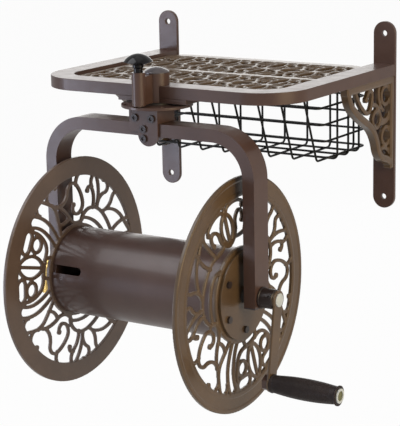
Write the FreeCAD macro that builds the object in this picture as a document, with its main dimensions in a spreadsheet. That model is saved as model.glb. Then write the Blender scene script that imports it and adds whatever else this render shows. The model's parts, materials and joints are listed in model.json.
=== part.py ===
import FreeCAD, Part
import math
import os

import Sketcher
from FreeCAD import Placement, Rotation, Vector

# Garden hose reel hung under a scroll-work shelf on two wall straps.
# Millimetres, +Z up. The origin is the middle of the four wall bolts, on the wall plane,
# and +Y points into the wall, so the reel stands out along -Y.

DOC = FreeCAD.newDocument("hose_reel")
SHEET = DOC.addObject("Spreadsheet::Sheet", "Sizes")

DRIVING = (
    # wall straps
    ("strap_pitch", 406.4), ("strap_width", 37), ("strap_thick", 6),
    ("bolt_rise", 260), ("bolt_hole", 9),
    # shelf frame and its scroll panel
    ("shelf_reach", 353), ("rim_bottom", 64.5), ("rim_height", 18), ("rim_band", 36),
    ("rim_skin", 5), ("corner_radius", 72), ("ledge_width", 8), ("ledge_thick", 8),
    ("back_bar", 14), ("panel_thick", 5), ("panel_border", 11), ("panel_back", 24), ("panel_setback", 4),
    ("cross_bar", 17), ("panel_scroll", 5.4),
    # scroll gussets under the shelf
    ("gusset_depth", 155), ("gusset_drop", 146), ("gusset_thick", 14), ("gusset_band", 11),
    ("gusset_scroll", 6.5), ("gusset_web", 8),
    # clearances
    ("seat_gap", 0.3), ("running_gap", 0.05), ("pin_gap", 0.4), ("bolt_gap", 0.2),
    # swivel pivot at the front of the shelf
    ("pivot_inset", 14), ("shaft_radius", 11), ("bush_wall", 2.5), ("bush_length", 14),
    ("flange_thick", 2), ("flange_lip", 2.2), ("barrel_wall", 3.4), ("barrel_rise", 17.5),
    ("nut_recess", 5), ("base_width", 120), ("base_thick", 7), ("cap_height", 8.5), ("cap_wall", 2.5),
    ("washer_thick", 1.2), ("pivot_nut_height", 4.5), ("pivot_nut_wall", 4),
    # index pin that locks the swivel
    ("index_reach", 46), ("pin_radius", 4), ("collar_lip", 2.5), ("collar_thick", 2),
    ("chamber_gap", 0.7), ("housing_wall", 2.8), ("housing_rise", 23.5), ("web_thick", 10),
    ("web_drop", 7),
    ("guide_length", 9), ("gland_thick", 4), ("gland_depth", 8), ("collar_lift", 8),
    ("spring_wire", 1.2), ("spring_turns", 6), ("knob_radius", 21.3), ("knob_height", 17),
    ("knob_edge", 5), ("neck_gap", 0.6), ("knob_lift", 10.7), ("neck_sink", 1), ("neck_flare", 3),
    # swivel plate and clamp
    ("swivel_margin", 7), ("swivel_thick", 4), ("thrust_thick", 2.2), ("thrust_width", 12),
    ("clamp_width", 50), ("clamp_plate", 3.5), ("clamp_tongue", 10), ("clamp_side_rise", 6.5),
    ("clamp_bolt_radius", 3), ("clamp_bolt_inset", 10.5), ("clamp_bolt_rise", 7.5),
    ("beam_bolt_rise", 1.2), ("tongue_bolt_gap", 0.5), ("bolt_head_lip", 2.6), ("bolt_head_height", 2.5),
    ("bolt_socket", 3), ("socket_depth", 1.6), ("clamp_nut_height", 5),
    # yoke
    ("yoke_tube", 19), ("yoke_depth", 38), ("yoke_wall", 2), ("yoke_bend", 70), ("block_height", 21),
    ("throat", 49), ("leg_tail", 1), ("plug_cap", 2), ("plug_length", 10),
    # reel
    ("reel_offset", 14.5), ("drum_length", 291), ("drum_radius", 67), ("drum_wall", 2),
    ("slot_length", 54), ("slot_width", 12.5), ("slot_angle", 165.5),
    ("disc_radius", 175), ("disc_thick", 6), ("disc_rim", 29), ("disc_hub_margin", 5), ("disc_web", 4.4),
    ("disc_scroll", 5.4), ("bead_width", 6), ("groove_depth", 1.4),
    ("left_disc_angle", 166), ("right_disc_angle", 288),
    ("hub_inset", 1), ("hub_plate_thick", 4.5), ("screw_inset", 14), ("screw_count", 6),
    ("screw_radius", 3), ("screw_head_lip", 2.2), ("screw_head_height", 3.2), ("drum_end_thick", 6),
    ("axle_radius", 9), ("axle_wall", 3), ("axle_collar_wall", 3), ("collar_length", 7.2),
    ("axle_bush_wall", 2.5), ("outlet_wall", 3), ("outlet_inset", 33.5), ("outlet_sink", 44),
    ("bore_overrun", 20),
    # water inlet
    ("inlet_wall", 3.5), ("inlet_reach", 17), ("inlet_bore", 8), ("inlet_drop", 27),
    ("thread_radius", 13.45), ("thread_length", 16), ("inlet_flange_lip", 4.5), ("inlet_flange_thick", 3),
    ("axle_insert", 8), ("seal_wire", 0.95), ("seal_inset", 4.5),
    # crank and hand grip
    ("crank_collar_wall", 5.5), ("crank_collar_lip", 1.5), ("crank_collar_rim", 3),
    ("crank_collar_length", 24), ("set_screw_radius", 2.4), ("set_screw_sink", 1),
    ("set_screw_angle", 156), ("set_screw_inset", 6),
    ("arm_thick", 4), ("arm_length", 121),
    ("arm_width", 22), ("arm_hub_radius", 14), ("arm_end_radius", 13), ("crank_angle", 9.7),
    ("badge_lip", 1), ("badge_height", 3.5), ("spindle_radius", 7.2), ("spindle_nut_height", 8),
    ("spindle_nut_wall", 4.8), ("grip_length", 108), ("grip_flange", 14.7), ("grip_waist", 12.8),
    ("grip_belly", 3.2), ("end_washer_wall", 3.5), ("end_washer_thick", 1.6), ("spindle_sink", 0.8),
    # wire basket under the shelf
    ("basket_margin", 16.7), ("basket_front", 165.5), ("basket_back", 5.5), ("basket_wire", 1.75),
    ("basket_top", 7.5), ("hoop_step", 26.7), ("basket_slope", 41), ("basket_columns", 8),
    ("basket_rows", 3), ("floor_drop", 8), ("hoop_corner", 8), ("wire_bend", 8), ("weld_bite", 0.8),
    ("hanger_width", 12), ("hanger_wall", 3), ("hanger_tab", 2.5),
)


class Size:
    """A number from the sheet together with the formula that it came from."""

    def __init__(self, number, formula):
        self.number = number
        self.formula = formula

    def __add__(self, other):
        other = as_size(other)
        return Size(self.number + other.number, "(%s + %s)" % (self.formula, other.formula))

    def __sub__(self, other):
        other = as_size(other)
        return Size(self.number - other.number, "(%s - %s)" % (self.formula, other.formula))

    def __mul__(self, other):
        other = as_size(other)
        return Size(self.number * other.number, "(%s * %s)" % (self.formula, other.formula))

    def __truediv__(self, other):
        other = as_size(other)
        return Size(self.number / other.number, "(%s / %s)" % (self.formula, other.formula))

    def __radd__(self, other):
        return as_size(other) + self

    def __rsub__(self, other):
        return as_size(other) - self

    def __rmul__(self, other):
        return as_size(other) * self

    def __neg__(self):
        return as_size(0) - self


def as_size(thing):
    """Turn a plain number into a size."""
    return thing if isinstance(thing, Size) else Size(float(thing), repr(float(thing)))


def fill_sheet():
    """Write the driving dimensions, one to a row."""
    for row, (name, number) in enumerate(DRIVING, start=1):
        SHEET.set("A%d" % row, name)
        SHEET.set("B%d" % row, str(number))
        SHEET.setAlias("B%d" % row, name)
    DOC.recompute()


def size(name):
    """A driving dimension."""
    return Size(float(SHEET.get(name)), "Sizes." + name)


fill_sheet()

ALONG_X = Rotation(Vector(0, 1, 0), 90)
ALONG_Y = Rotation(Vector(1, 0, 0), -90)
ALONG_Z = Rotation()
TURN = {"x": ALONG_X, "y": ALONG_Y, "z": ALONG_Z}
PIECES = []

# Radii that follow from what runs inside or outside them.
gap = size("seat_gap")
fit = size("running_gap")
shaft_bore = size("shaft_radius") + fit
barrel_bore = shaft_bore + size("bush_wall")
barrel_recess = barrel_bore + size("flange_lip")
barrel_radius = barrel_recess + size("barrel_wall")
pin_collar = size("pin_radius") + size("collar_lip")
chamber_radius = pin_collar + size("chamber_gap")
hub_radius = size("drum_radius") - size("hub_inset")
disc_hub = size("drum_radius") + size("disc_hub_margin")
axle_seat = size("axle_radius") + fit
axle_bore = size("axle_radius") - size("axle_wall")
axle_bush_outer = axle_seat + size("axle_bush_wall")

# Levels and places that several pieces share.
rim_bottom = size("rim_bottom")
rim_top = rim_bottom + size("rim_height")
shelf_half = (size("strap_pitch") + size("strap_width")) / 2
shelf_back = -size("strap_thick")
shelf_front = -size("shelf_reach")
shelf_inner = shelf_half - size("rim_band")
pivot_y = shelf_front + size("pivot_inset")
index_y = pivot_y - size("index_reach")
base_bottom = rim_bottom - size("base_thick")
barrel_top = rim_top + size("barrel_rise")
housing_top = rim_top + size("housing_rise")
swivel_top = base_bottom - gap - size("thrust_thick")
swivel_bottom = swivel_top - size("swivel_thick")
beam_top = swivel_bottom - size("block_height")
beam_bottom = beam_top - size("yoke_tube")
reel_y = pivot_y - size("reel_offset")
reel_z = beam_bottom - size("throat") - size("disc_radius")
leg_bottom = reel_z - axle_bush_outer - size("leg_tail")
disc_inner = size("drum_length") / 2
disc_outer = disc_inner + size("disc_thick")
hub_outer = disc_outer + size("hub_plate_thick")
bush_face = hub_outer + size("collar_length") + gap
leg_inner = bush_face + size("flange_thick")
leg_outer = leg_inner + size("yoke_tube")
arm_inner = leg_outer + gap + size("crank_collar_length")
arm_outer = arm_inner + size("arm_thick")


def keep(piece, label):
    """Name a finished sub-part and put it on the list that is written out."""
    piece.Label = label
    PIECES.append(piece)
    return piece


def bind(piece, prop, amount):
    """Tie one property to the sheet."""
    piece.setExpression(prop, as_size(amount).formula)


def put(piece, x, y, z, turn=ALONG_Z):
    """Place a piece, with its position tied to the sheet."""
    spot = [as_size(part) for part in (x, y, z)]
    piece.Placement = Placement(Vector(*[part.number for part in spot]), turn)
    for letter, part in zip("xyz", spot):
        bind(piece, "Placement.Base." + letter, part)
    return piece


def box(name, x, y, z, length, width, height):
    """A block from its lowest corner."""
    piece = DOC.addObject("Part::Box", name)
    bind(piece, "Length", length)
    bind(piece, "Width", width)
    bind(piece, "Height", height)
    return put(piece, x, y, z)


def rod(name, axis, x, y, z, radius, length):
    """A round bar that starts at a point and runs along one axis."""
    piece = DOC.addObject("Part::Cylinder", name)
    bind(piece, "Radius", radius)
    bind(piece, "Height", length)
    return put(piece, x, y, z, TURN[axis])


def hexagon(name, axis, x, y, z, radius, length):
    """A six-sided bar, measured to its corners."""
    piece = DOC.addObject("Part::Prism", name)
    piece.Polygon = 6
    bind(piece, "Circumradius", radius)
    bind(piece, "Height", length)
    return put(piece, x, y, z, TURN[axis])


def fuse(name, *parts):
    """Join several shapes into one."""
    piece = DOC.addObject("Part::MultiFuse", name)
    piece.Shapes = list(parts)
    piece.Refine = True
    return piece


def cut(name, base, *tools):
    """Take one or more shapes away from another."""
    piece = DOC.addObject("Part::Cut", name)
    piece.Base = base
    piece.Tool = tools[0] if len(tools) == 1 else fuse(name + "_tools", *tools)
    piece.Refine = True
    return piece


def group(name, *parts):
    """Several separate solids under one name."""
    piece = DOC.addObject("Part::Compound", name)
    piece.Links = list(parts)
    return piece


def tube(name, axis, x, y, z, outer, inner, length):
    """A round sleeve."""
    return cut(name, rod(name + "_outside", axis, x, y, z, outer, length),
               rod(name + "_bore", axis, x, y, z, inner, length))


def turned_by(heading, angle):
    """A flat heading after a turn to the left."""
    return Rotation(Vector(0, 0, 1), math.degrees(angle)).multVec(heading)


def tangent_arc(start, end, heading):
    """The arc that leaves a point along a heading and ends at another point, with half its turn."""
    chord = end.sub(start)
    half = math.atan2(heading.x * chord.y - heading.y * chord.x, heading.dot(chord))
    rise = chord.Length / 2 * math.tan(half / 2)
    side = Vector(chord.y, -chord.x, 0).normalize()
    return Part.Arc(start, (start + end) * 0.5 + side * rise, end), half


def bulge_heading(start, end, radius):
    """The heading of the short arc between two points; a positive radius turns left."""
    chord = end.sub(start)
    return turned_by(chord.normalize(), -math.asin(end.sub(start).Length / 2 / radius))


def corner_edges(corners):
    """The lines and arcs of a closed outline, each with its turn. A corner with a third entry starts
    an arc: tangent to the line before it, or of a signed radius."""
    spots = [Vector(as_size(corner[0]).number, as_size(corner[1]).number, 0) for corner in corners]
    heading = None
    edges = []
    for corner, start, end in zip(corners, spots, spots[1:] + spots[:1]):
        if len(corner) == 2:
            edges.append((Part.LineSegment(start, end), 0))
            heading = end.sub(start).normalize()
            continue
        if isinstance(corner[2], Size):
            heading = bulge_heading(start, end, corner[2].number)
        arc, half = tangent_arc(start, end, heading)
        edges.append((arc, half))
        heading = turned_by(heading, 2 * half)
    return edges


def fix(sketch, rule, amount):
    """Add one dimension to a sketch and tie it to the sheet."""
    index = sketch.addConstraint(rule)
    sketch.setExpression("Constraints[%d]" % index, amount.formula)


def outline(sketch, corners):
    """Draw a closed outline with its dimensions."""
    first = sketch.GeometryCount
    ends = []
    for edge, half in corner_edges(corners):
        sketch.addGeometry(edge)
        ends.append((2, 1) if half < 0 else (1, 2))
    for here, corner in enumerate(corners):
        last = (here - 1) % len(corners)
        tangent = len(corner) == 3 and not isinstance(corner[2], Size)
        joint = "Tangent" if tangent else "Coincident"
        meeting = Sketcher.Constraint(joint, first + last, ends[last][1], first + here, ends[here][0])
        sketch.addConstraint(meeting)
    for here, corner in enumerate(corners):
        for kind, part in zip(("DistanceX", "DistanceY"), corner[:2]):
            amount = as_size(part)
            fix(sketch, Sketcher.Constraint(kind, -1, 1, first + here, ends[here][0], amount.number), amount)
        if len(corner) == 3 and isinstance(corner[2], Size):
            radius = corner[2] if corner[2].number > 0 else -corner[2]
            fix(sketch, Sketcher.Constraint("Radius", first + here, radius.number), radius)


def new_sketch(body, role):
    """A sketch on one of a body's own origin planes."""
    sketch = body.newObject("Sketcher::SketchObject", body.Name + "_sketch")
    plane = [feature for feature in body.Origin.OriginFeatures if feature.Role == role]
    sketch.AttachmentSupport = [(plane[0], "")]
    sketch.MapMode = "FlatFace"
    return sketch


def slab(name, role, corners, depth, x=0, y=0, z=0, holes=()):
    """A flat piece padded from an outline, with round holes given as (across, up, radius)."""
    body = DOC.addObject("PartDesign::Body", name)
    sketch = new_sketch(body, role)
    outline(sketch, corners)
    for across, up, radius in holes:
        middle = Vector(as_size(across).number, as_size(up).number, 0)
        ring = sketch.addGeometry(Part.Circle(middle, Vector(0, 0, 1), as_size(radius).number))
        for kind, amount in (("DistanceX", as_size(across)), ("DistanceY", as_size(up))):
            fix(sketch, Sketcher.Constraint(kind, -1, 1, ring, 3, amount.number), amount)
        fix(sketch, Sketcher.Constraint("Radius", ring, as_size(radius).number), as_size(radius))
    pad = body.newObject("PartDesign::Pad", name + "_pad")
    pad.Profile = sketch
    bind(pad, "Length", depth)
    sketch.Visibility = False
    return put(body, x, y, z)


def turned(name, axis, x, y, z, profile):
    """A piece turned on a lathe: corners are (radius, distance along the axis)."""
    body = DOC.addObject("PartDesign::Body", name)
    sketch = new_sketch(body, "XZ_Plane")
    outline(sketch, profile)
    turn = body.newObject("PartDesign::Revolution", name + "_turn")
    turn.Profile = sketch
    turn.ReferenceAxis = (sketch, ["V_Axis"])
    turn.Angle = 360
    return put(body, x, y, z, TURN[axis])


# Scroll work: each stroke is a chain of tangent arcs through a few points, drawn at one width.

def aside(heading):
    """The left-hand side of a heading."""
    return Vector(-heading.y, heading.x, 0)


def arc_chain(points):
    """The tangent arcs through a list of points, started along the circle of the first three."""
    spots = [Vector(x, y, 0) for x, y in points]
    first = Part.Arc(*spots[:3])
    heading = first.tangent(first.FirstParameter)[0]
    if heading.dot(spots[1].sub(spots[0])) < 0:
        heading = heading * -1
    chain = []
    for start, end in zip(spots, spots[1:]):
        arc, half = tangent_arc(start, end, heading)
        middle = arc.value((arc.FirstParameter + arc.LastParameter) / 2)
        leaving = turned_by(heading, 2 * half)
        chain.append(((start, heading), (middle, turned_by(heading, half)), (end, leaving)))
        heading = leaving
    return chain


def stroke(points, width):
    """A ribbon face along a chain of arcs, with round ends."""
    chain = arc_chain(points)
    half = width / 2
    edges = []
    for side in (half, -half):
        for stations in chain:
            edges.append(Part.Arc(*[spot + aside(heading) * side for spot, heading in stations]).toShape())
    tail, tail_heading = chain[0][0]
    nose, nose_heading = chain[-1][2]
    for spot, heading in ((tail, tail_heading * -half), (nose, nose_heading * half)):
        edges.append(Part.Arc(spot + aside(heading), spot + heading, spot - aside(heading)).toShape())
    return Part.Face(Part.Wire(Part.__sortEdges__(edges)))


def disc_face(x, y, radius):
    """A round face."""
    return Part.Face(Part.Wire(Part.Circle(Vector(x, y, 0), Vector(0, 0, 1), radius).toShape()))


def ring_face(x, y, radius, width):
    """A ring face about a middle radius."""
    return disc_face(x, y, radius + width / 2).cut(disc_face(x, y, radius - width / 2))


def mirrored(face):
    """The same face on the other side of the up axis."""
    return face.mirror(Vector(), Vector(1, 0, 0))


def pierced_plate(faces, thick):
    """One plate from many overlapping faces."""
    joined = faces[0].multiFuse(faces[1:])
    seen = {}
    for face in joined.Faces:
        for edge in face.Edges:
            seen.setdefault(edge.hashCode(), []).append(edge)
    free = [edges[0] for edges in seen.values() if len(edges) == 1]
    wires = [Part.Wire(loop) for loop in Part.sortEdges(free)]
    plate = Part.makeFace(wires, "Part::FaceMakerBullseye")
    return plate.extrude(Vector(0, 0, thick))


def shaped(name, shape, placement=None):
    """A computed shape as an object of the document."""
    piece = DOC.addObject("Part::Feature", name)
    piece.Shape = shape
    if placement is not None:
        piece.Placement = placement
    return piece


# Wall straps

def wall_strap(side, sign):
    """A flat bar with round ends and one bolt hole at each end."""
    half = size("strap_width") / 2
    rise = size("bolt_rise") / 2
    hole = size("bolt_hole") / 2
    corners = ((half, -rise), (half, rise, "arc"), (-half, rise), (-half, -rise, "arc"))
    strap = slab("wall_strap_" + side, "XZ_Plane", corners, size("strap_thick"),
                 x=size("strap_pitch") / 2 * sign, holes=((0, rise, hole), (0, -rise, hole)))
    keep(strap, "wall_strap_" + side)


# Shelf: a channel-section frame on three sides, with a ledge all round that carries the scroll panel

def shelf_outline(inset, back):
    """The shelf's outline, square at the wall and round at the front, drawn in by an inset."""
    half = shelf_half - inset
    front = shelf_front + inset
    radius = size("corner_radius") - inset
    return ((half, back), (-half, back), (-half, front + radius, "arc"), (radius - half, front),
            (half - radius, front, "arc"), (half, front + radius))


def panel_outline(inset, back):
    """The scroll panel's outline, with four round corners."""
    half = shelf_half - inset
    front = shelf_front + inset
    radius = size("corner_radius") - inset
    return ((half - radius, back), (radius - half, back, "arc"), (-half, back - radius),
            (-half, front + radius, "arc"), (radius - half, front), (half - radius, front, "arc"),
            (half, front + radius), (half, back - radius, "arc"))


def shelf_frame():
    """The rim: outer skirt, top band and inner skirt on three sides, and the ledge."""
    skin = size("rim_skin")
    band = size("rim_band")
    height = size("rim_height")
    ledge = size("ledge_thick")
    lip = size("ledge_width")
    block = slab("rim_block", "XY_Plane", shelf_outline(0, shelf_back), height, z=rim_bottom)
    hollow = slab("rim_hollow", "XY_Plane", shelf_outline(skin, shelf_back - skin), height - skin,
                  z=rim_bottom)
    inner = slab("rim_inner", "XY_Plane", shelf_outline(band - skin, shelf_back), height, z=rim_bottom)
    well = slab("rim_well", "XY_Plane", shelf_outline(band, shelf_back), height - ledge, z=rim_bottom + ledge)
    opening = slab("rim_opening", "XY_Plane", shelf_outline(band + lip, shelf_back - size("back_bar")),
                   height, z=rim_bottom)
    barrel = rod("rim_barrel", "z", 0, pivot_y, rim_bottom, barrel_radius + gap, height)
    solid = fuse("rim_solid", cut("rim_channel", block, hollow), inner)
    keep(cut("shelf_frame", solid, well, opening, barrel), "shelf_frame")


# One quarter of a panel cell, in shares of the cell's half width and half height.
PANEL_STROKES = (
    ((0.0, 1.05), (0.26, 0.5), (0.0, 0.0)),
    ((0.0, 0.06), (0.42, 0.1), (0.76, 0.42), (0.56, 0.8), (0.34, 0.56), (0.5, 0.42)),
    ((0.76, 0.4), (0.95, 0.62), (1.0, 1.05)),
    ((0.52, 0.78), (0.5, 0.95), (0.42, 1.06)),
)
PANEL_CELLS = 4
PANEL_RING = 0.28
PANEL_BALL = 0.75


def panel_cell(middle_x, middle_y, half_x, half_y, width):
    """The scroll strokes of one cell: four mirrored quarters with a ring at each side."""
    faces = []
    for flip_x in (1, -1):
        for flip_y in (1, -1):
            for points in PANEL_STROKES:
                spots = [(middle_x + flip_x * half_x * x, middle_y + flip_y * half_y * y) for x, y in points]
                faces.append(stroke(spots, width))
            curl = PANEL_STROKES[1][-1]
            faces.append(disc_face(middle_x + flip_x * half_x * curl[0], middle_y + flip_y * half_y * curl[1],
                                   width * PANEL_BALL))
        faces.append(ring_face(middle_x + flip_x * half_x, middle_y, half_y * PANEL_RING, width))
    return faces


def outline_face(corners):
    """A flat face inside an outline."""
    return Part.Face(Part.Wire([edge.toShape() for edge, half in corner_edges(corners)]))


def plank(x0, y0, x1, y1):
    """A rectangular face."""
    spots = [Vector(x0, y0, 0), Vector(x1, y0, 0), Vector(x1, y1, 0), Vector(x0, y1, 0)]
    return Part.Face(Part.makePolygon(spots + spots[:1]))


def shelf_panel():
    """The lift-out scroll panel: a border, one cross bar and two rows of scroll cells."""
    inset = size("rim_band") + gap
    edge = shelf_back - size("panel_setback")
    border = size("panel_border")
    width = size("panel_scroll").number
    whole = outline_face(panel_outline(inset, edge))
    inside = outline_face(panel_outline(inset + border, edge - size("panel_back")))
    half = (shelf_half - inset - border).number
    front = (shelf_front + inset + border).number
    back = (edge - size("panel_back")).number
    middle = (front + back) / 2
    bar = size("cross_bar").number / 2
    faces = [whole.cut(inside), plank(-half - bar, middle - bar, half + bar, middle + bar)]
    half_x = half / PANEL_CELLS
    half_y = (middle - bar - front) / 2
    for row in (front + half_y, back - half_y):
        for column in range(PANEL_CELLS):
            faces += panel_cell(half_x * (2 * column + 1 - PANEL_CELLS), row, half_x, half_y, width)
    trimmed = [face.common(whole) for face in faces]
    plate = pierced_plate([face for shape in trimmed for face in shape.Faces], size("panel_thick").number)
    keep(shaped("shelf_panel", plate), "shelf_panel")
    bind(PIECES[-1], "Placement.Base.z", rim_bottom + size("ledge_thick"))


# Gussets: the points are (forward share, downward share) of the gusset's depth and drop.
GUSSET_CURVE = ((0.965, 0.0), (0.93, 0.14), (0.84, 0.25), (0.56, 0.43), (0.33, 0.72), (0.18, 0.87),
                (0.0, 0.965))
GUSSET_STROKES = (
    ((0.79, 0.06), (0.7, 0.2), (0.58, 0.31), (0.455, 0.27), (0.43, 0.15), (0.52, 0.12), (0.555, 0.18)),
    ((0.44, 0.25), (0.35, 0.27), (0.26, 0.38), (0.06, 0.38)),
    ((0.27, 0.05), (0.29, 0.2), (0.2, 0.34)),
    ((0.27, 0.47), (0.17, 0.48), (0.05, 0.42)),
    ((0.25, 0.76), (0.14, 0.76), (0.04, 0.86)),
)
GUSSET_RINGS = ((0.14, 0.19, 0.092), (0.335, 0.42, 0.085), (0.13, 0.63, 0.088))
GUSSET_BALL = 0.75


def scroll_gusset(side, sign):
    """A cast bracket: top and back bands, an ogee front band and scroll work between them."""
    depth = size("gusset_depth").number
    drop = size("gusset_drop").number
    band = size("gusset_band").number
    width = size("gusset_scroll").number

    def spot(forward, down):
        return (-forward * depth, -down * drop)

    area = plank(-depth, -drop, 0, 0)
    bands = [plank(-depth, -band, 0, 0), plank(-band, -drop, 0, 0),
             stroke([spot(*point) for point in GUSSET_CURVE], band).common(area).Faces[0]]
    scrolls = [stroke([spot(*point) for point in points], width) for points in GUSSET_STROKES]
    scrolls.append(disc_face(*spot(*GUSSET_STROKES[0][-1]), width * GUSSET_BALL))
    for forward, down, radius in GUSSET_RINGS:
        scrolls.append(ring_face(*spot(forward, down), radius * depth, width))
    web = size("gusset_web").number
    thick = size("gusset_thick").number
    frame = pierced_plate(bands, thick)
    filling = pierced_plate(bands + scrolls, web)
    filling.translate(Vector(0, 0, (thick - web) / 2))
    shape = frame.fuse(filling).removeSplitter()
    upright = Rotation(Vector(1, 1, 1), 120)
    outer = shelf_half.number - thick if sign > 0 else -shelf_half.number
    spot_in_place = Vector(outer, shelf_back.number, rim_bottom.number)
    keep(shaped("gusset_" + side, shape, Placement(spot_in_place, upright)), "gusset_" + side)


# Pivot: a barrel and an index housing cast in one, with bushes, on a base plate under the front rail

def pivot():
    """The fixed half of the swivel."""
    seat = barrel_top - size("nut_recess")
    wide = size("base_width")
    thick = size("base_thick")
    plate = box("base_block", -wide / 2, shelf_front, base_bottom, wide, size("rim_band"), thick)
    hole = rod("base_hole", "z", 0, pivot_y, base_bottom, barrel_radius + gap, thick)
    keep(cut("base_plate", plate, hole), "base_plate")
    web = size("web_thick")
    web_top = housing_top - size("web_drop")
    chamber_floor = base_bottom + size("guide_length")
    casting = fuse("pivot_casting",
                   rod("barrel", "z", 0, pivot_y, base_bottom, barrel_radius, barrel_top - base_bottom),
                   rod("housing", "z", 0, index_y, base_bottom, chamber_radius + size("housing_wall"),
                       housing_top - base_bottom),
                   box("barrel_web", -web / 2, index_y, base_bottom, web, size("index_reach"),
                       web_top - base_bottom))
    keep(cut("pivot_housing", casting,
             rod("barrel_bore", "z", 0, pivot_y, base_bottom, barrel_bore, barrel_top - base_bottom),
             rod("barrel_recess", "z", 0, pivot_y, seat, barrel_recess, size("nut_recess")),
             rod("pin_guide", "z", 0, index_y, base_bottom, size("pin_radius") + fit, size("guide_length")),
             rod("pin_chamber", "z", 0, index_y, chamber_floor, chamber_radius, housing_top - chamber_floor)),
         "pivot_housing")
    bush = barrel_bore - fit
    length = size("bush_length")
    keep(tube("pivot_bush_lower", "z", 0, pivot_y, base_bottom, bush, shaft_bore, length),
         "pivot_bush_lower")
    sleeve = fuse("bush_sleeve", rod("bush_body", "z", 0, pivot_y, seat - length, bush, length),
                  rod("bush_flange", "z", 0, pivot_y, seat, barrel_recess - gap, size("flange_thick")))
    hole = rod("bush_hole", "z", 0, pivot_y, seat - length, shaft_bore, length + size("flange_thick"))
    keep(cut("pivot_bush_upper", sleeve, hole), "pivot_bush_upper")
    gland = housing_top - size("gland_depth") - size("gland_thick")
    keep(tube("index_gland", "z", 0, index_y, gland, chamber_radius - fit, size("pin_radius") + fit,
              size("gland_thick")), "index_gland")


def dome(radius, height):
    """The radius of the sphere behind a shallow dome."""
    return (radius * radius + height * height) / (height * 2)


def dome_cap():
    """The cap that covers the pivot nut."""
    outer = barrel_radius
    wall = size("cap_wall")
    inner = outer - wall
    height = size("cap_height")
    lip = wall / 2
    profile = ((0, height, -dome(outer, height - lip)), (outer, lip), (outer, 0), (inner, 0),
               (inner, lip, dome(inner, height - wall - lip)), (0, height - wall))
    keep(turned("dome_cap", "z", 0, pivot_y, barrel_top, profile), "dome_cap")


# Index pin: a pull pin with a spring and a mushroom knob, held just clear of the swivel plate

def index_pin():
    """The pin, its knob and its spring."""
    radius = size("pin_radius")
    tip = swivel_top + size("pin_gap")
    collar_low = base_bottom + size("guide_length") + size("collar_lift") - tip
    collar_high = collar_low + size("collar_thick")
    neck_low = housing_top - size("neck_sink")
    neck = size("knob_lift") + size("neck_sink")
    depth = neck + size("knob_height") / 2
    top = neck_low + depth - tip
    chamfer = radius / 4
    profile = ((0, 0), (radius - chamfer, 0), (radius, chamfer), (radius, collar_low),
               (pin_collar, collar_low), (pin_collar, collar_high), (radius, collar_high), (radius, top),
               (0, top))
    keep(turned("index_pin", "z", 0, index_y, tip, profile), "index_pin")
    edge = size("knob_radius")
    bore = radius + fit
    crown = neck + size("knob_height")
    rim = neck + size("knob_edge")
    stem = chamber_radius - size("neck_gap")
    collar = stem * 1.25
    flare = neck - size("neck_flare")
    profile = ((0, crown, -dome(edge, crown - rim)), (edge, rim), (collar, neck), (collar, flare),
               (stem, flare - collar + stem), (stem, 0), (bore, 0), (bore, depth), (0, depth))
    keep(turned("index_knob", "z", 0, index_y, neck_low, profile), "index_knob")
    index_spring(tip + collar_high, housing_top - size("gland_depth") - size("gland_thick"))


def index_spring(low, high):
    """A compression spring between the pin's collar and the gland."""
    wire = size("spring_wire").number / 2
    radius = (size("pin_radius") + chamber_radius).number / 2
    turns = int(size("spring_turns").number)
    rise = (high - low).number - 2 * (wire + gap.number)
    steps = turns * 4

    def spot(step):
        angle = step * math.pi / 2
        return Vector(radius * math.cos(angle), radius * math.sin(angle), rise * step / steps)

    arcs = [Part.Arc(spot(step), spot(step + 0.5), spot(step + 1)).toShape() for step in range(steps)]
    path = Part.Wire(arcs)
    ring = Part.Wire(Part.Circle(spot(0), Vector(0, 1, 0), wire).toShape())
    coil = path.makePipeShell([ring], True, False)
    lowest = low.number + wire + gap.number
    seat = Placement(Vector(0, index_y.number, lowest), Rotation())
    keep(shaped("index_spring", coil, seat), "index_spring")


# Swivel: plate, shaft and the clamp that holds the yoke

INDEX_STEPS = (-90, -45, 0, 45, 90)


def swivel():
    """The turning half of the pivot."""
    shaft = size("shaft_radius")
    stud = shaft / 2
    thick = size("swivel_thick")
    holes = [rod("swivel_bore", "z", 0, pivot_y, swivel_bottom, shaft + fit, thick)]
    for step in INDEX_STEPS:
        angle = math.radians(step)
        holes.append(rod("index_hole", "z", size("index_reach") * math.sin(angle),
                         pivot_y - size("index_reach") * math.cos(angle), swivel_bottom,
                         size("pin_radius") + size("pin_gap"), thick))
    reach = size("index_reach") + size("swivel_margin")
    disc = rod("swivel_disc", "z", 0, pivot_y, swivel_bottom, reach, thick)
    keep(cut("swivel_plate", disc, *holes), "swivel_plate")
    keep(tube("thrust_washer", "z", 0, pivot_y, swivel_top, shaft + gap + size("thrust_width"), shaft + gap,
              size("thrust_thick")), "thrust_washer")
    shoulder = barrel_top - size("nut_recess") + size("flange_thick") + gap
    washer = size("washer_thick")
    nut = size("pivot_nut_height")
    end = shoulder + washer + nut
    keep(fuse("pivot_shaft",
              rod("shaft_body", "z", 0, pivot_y, swivel_bottom, shaft, shoulder - swivel_bottom),
              rod("shaft_stud", "z", 0, pivot_y, shoulder, stud, end - shoulder)), "pivot_shaft")
    keep(tube("pivot_washer", "z", 0, pivot_y, shoulder, barrel_bore, stud + fit, washer), "pivot_washer")
    nut_body = hexagon("nut_body", "z", 0, pivot_y, shoulder + washer, stud + size("pivot_nut_wall"), nut)
    nut_hole = rod("nut_hole", "z", 0, pivot_y, shoulder + washer, stud + fit, nut)
    keep(cut("pivot_nut", nut_body, nut_hole), "pivot_nut")


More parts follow.
